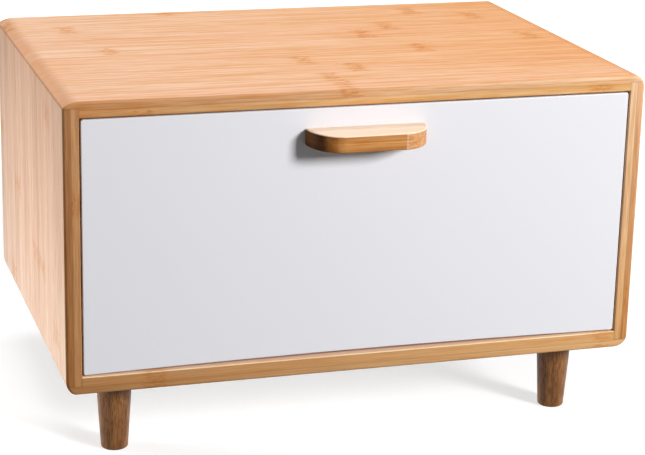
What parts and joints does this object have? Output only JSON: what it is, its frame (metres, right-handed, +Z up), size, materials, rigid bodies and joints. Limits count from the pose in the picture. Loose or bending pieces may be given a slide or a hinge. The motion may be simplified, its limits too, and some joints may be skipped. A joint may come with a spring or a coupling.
{
  "type": "bread box with drawer",
  "caption": "Bamboo box with rabbeted corners on round tapered legs, with a full-width pull-out drawer behind an inset white front with a wooden pull.",
  "frame": {"origin": "on the floor, under the middle of the whole outline at rest, pull included", "axes": "+X to the right as seen from the front, +Y from the drawer front to the back, +Z up"},
  "size_m": [0.38, 0.288, 0.2385],
  "materials": {
    "bamboo": "clear satin lacquer",
    "bamboo_ply": "clear satin lacquer",
    "white_lacquer": "white satin lacquer on fibreboard",
    "pull_bamboo": "clear satin lacquer",
    "leg_wood": "brown stain under satin lacquer",
    "beech": "bare",
    "zinc_steel": "zinc plated",
    "brass": "plain",
    "nylon": "matt",
    "bumper_rubber": "matt"
  },
  "bodies": {
    "case": {"top_panel": "bamboo", "bottom_panel": "bamboo", "left_side_panel": "bamboo", "right_side_panel": "bamboo", "back_panel": "bamboo_ply", "back_panel_screws": "zinc_steel", "front_left_leg": "leg_wood", "front_right_leg": "leg_wood", "rear_left_leg": "leg_wood", "rear_right_leg": "leg_wood", "leg_hanger_bolts": "zinc_steel", "leg_insert_nuts": "brass", "left_glide_strip": "nylon", "right_glide_strip": "nylon", "left_stop_block": "bamboo", "right_stop_block": "bamboo", "stop_block_screws": "zinc_steel", "left_closing_bumper": "bumper_rubber", "right_closing_bumper": "bumper_rubber"},
    "drawer": {"drawer_front": "white_lacquer", "drawer_inner_front": "bamboo", "drawer_left_side": "bamboo", "drawer_right_side": "bamboo", "drawer_back": "bamboo", "drawer_bottom": "bamboo_ply", "drawer_dowels": "beech", "drawer_front_screws": "zinc_steel", "drawer_pull": "pull_bamboo", "drawer_pull_screws": "zinc_steel"}
  },
  "joints": [
    {"name": "drawer_slide", "type": "slide", "parent": "case", "child": "drawer", "axis": [0, -1, 0], "range_m": [0, 0.202]}
  ]
}
